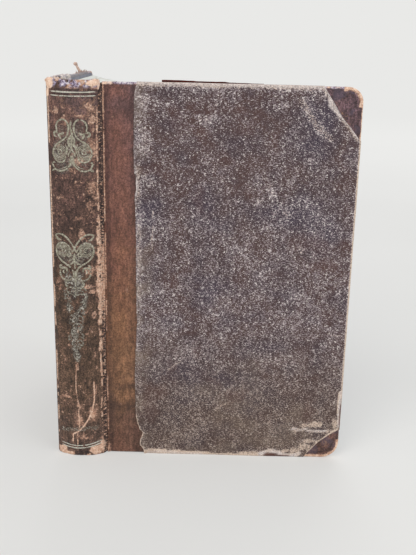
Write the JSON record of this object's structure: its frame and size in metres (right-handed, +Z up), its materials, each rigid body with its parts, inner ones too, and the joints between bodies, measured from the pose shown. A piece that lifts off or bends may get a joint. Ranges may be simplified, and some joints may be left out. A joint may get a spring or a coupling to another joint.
{
  "type": "antique half-leather book",
  "caption": "Worn antique octavo in half leather with grained cloth sides, scroll-tooled rounded spine and hinged covers, standing with its front cover open.",
  "frame": {"origin": "middle of the box of the standing book with its front cover open at a right angle, on the surface it stands on", "axes": "+Z up the spine, the spine and the front cover's outside face -Y, +X from the spine towards the open cover's fore-edge"},
  "size_m": [0.1774, 0.152, 0.2368],
  "materials": {
    "leaves": "aged edges, matte",
    "lining": "coarse grey paper",
    "inlay": "plain card",
    "spine_leather": "worn, rubbed and cracked",
    "gilt": "dull worn gilding",
    "cord": "hemp cord",
    "millboard": "rubbed board",
    "board_leather": "smooth, stained and rubbed",
    "cloth": "pebble-grained cloth, rubbed pale on its grain",
    "endpaper": "plain grey-blue paper",
    "frayed_edge": "frayed"
  },
  "bodies": {
    "book_block": {"text_block": "leaves", "spine_lining": "lining", "spine_inlay": "inlay", "spine_leather": "spine_leather", "gilt_tooling": "gilt", "sewing_cord_1": "cord", "sewing_cord_2": "cord", "sewing_cord_3": "cord", "sewing_cord_4": "cord", "sewing_cord_5": "cord"},
    "front_cover": {"front_board": "millboard", "front_leather_strip": "board_leather", "front_cloth": "cloth", "front_upper_corner": "board_leather", "front_lower_corner": "board_leather", "front_pastedown": "endpaper", "front_lifted_turn_in": "cloth"},
    "rear_cover": {"rear_board": "millboard", "rear_leather_strip": "board_leather", "rear_cloth": "cloth", "rear_upper_corner": "board_leather", "rear_lower_corner": "board_leather", "rear_pastedown": "endpaper", "rear_frayed_strand": "frayed_edge"}
  },
  "joints": [
    {"name": "front_joint", "type": "hinge", "parent": "book_block", "child": "front_cover", "pos_m": [-0.05775, -0.0705, 0.115], "axis": [0, 0, 1], "range_deg": [-90, 90]},
    {"name": "rear_joint", "type": "hinge", "parent": "book_block", "child": "rear_cover", "pos_m": [-0.08875, -0.0705, 0.115], "axis": [0, 0, 1], "range_deg": [0, 180]}
  ]
}
